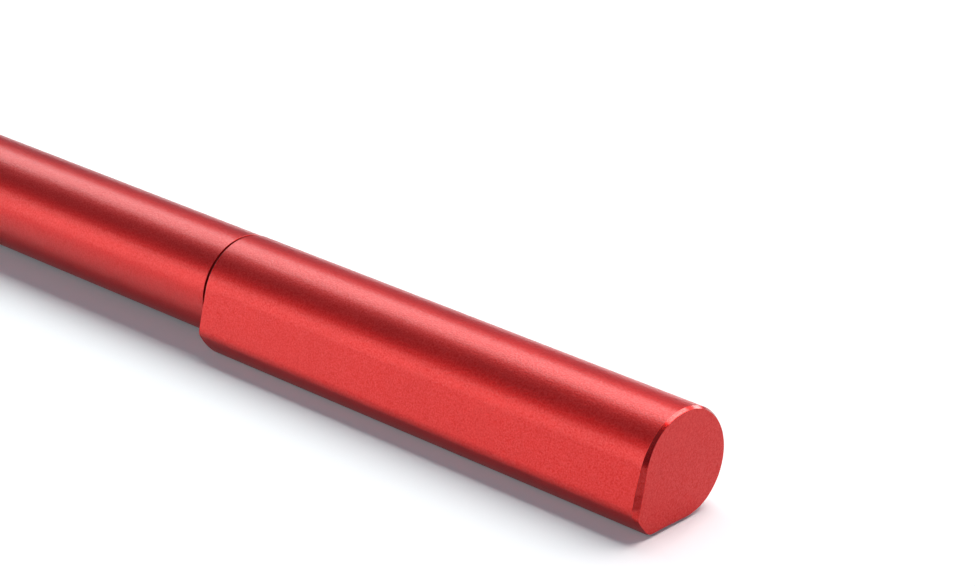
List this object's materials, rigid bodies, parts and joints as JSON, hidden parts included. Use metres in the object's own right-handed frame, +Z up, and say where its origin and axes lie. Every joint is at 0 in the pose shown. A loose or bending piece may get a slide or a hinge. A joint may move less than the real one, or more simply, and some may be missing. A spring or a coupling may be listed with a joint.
{
  "type": "twist ballpoint pen",
  "caption": "Twist-action ballpoint pen in matte anodised metal, with a bullet nose and a teardrop cap that turns to draw the refill in.",
  "frame": {"origin": "under the middle of the pen as it lies on the cap's flat, on the surface that it rests on", "axes": "+X from the writing tip to the rear end, +Z up, the cap's blunt apex towards -Y"},
  "size_m": [0.1424, 0.0102, 0.0094],
  "materials": {
    "anodised_red": "matte blasted and anodised",
    "tip_chrome": "polished",
    "refill_steel": "drawn",
    "spring_steel": "bright wire",
    "brass": "turned",
    "black_polymer": "moulded",
    "black_rubber": "moulded",
    "ball_metal": "ground"
  },
  "bodies": {
    "core": {"coupling_bush": "brass", "guide_tube": "brass", "seam_washer": "black_rubber", "friction_ring": "black_rubber", "wave_washer": "spring_steel", "clip_ring": "spring_steel"},
    "cap": {"cap_body": "anodised_red", "cam_sleeve": "brass", "mouth_bearing": "black_polymer"},
    "plunger": {"plunger": "black_polymer", "cross_pin": "refill_steel", "plunger_pad": "black_rubber"},
    "refill": {"refill_tube": "refill_steel", "refill_neck": "refill_steel", "refill_tip": "tip_chrome", "refill_plug": "black_polymer", "return_spring": "spring_steel"},
    "ball": {"tip_ball": "ball_metal"},
    "barrel": {"front_barrel": "anodised_red", "thread_insert": "brass"}
  },
  "joints": [
    {"name": "refill_slide", "type": "slide", "parent": "core", "child": "refill", "axis": [1, 0, 0], "range_m": [0, 0.005], "deforming": ["return_spring"]},
    {"name": "plunger_slide", "type": "slide", "parent": "core", "child": "plunger", "axis": [1, 0, 0], "range_m": [0, 0.005]},
    {"name": "cap_twist", "type": "hinge", "parent": "core", "child": "cap", "pos_m": [0.0464, 0.0004, 0.0047], "axis": [1, 0, 0], "range_deg": [0, 180]},
    {"name": "barrel_draw", "type": "slide", "parent": "core", "child": "barrel", "axis": [-1, 0, 0], "range_m": [0, 0.1]},
    {"name": "ball_roll", "type": "hinge", "parent": "refill", "child": "ball", "pos_m": [-0.0707, 0.0004, 0.0047], "axis": [0, 1, 0], "continuous": true}
  ],
  "couplings": [
    {"joint": "plunger_slide", "follows": "refill_slide", "ratio": 1},
    {"joint": "cap_twist", "follows": "refill_slide", "rad_per_m": 628.32}
  ]
}
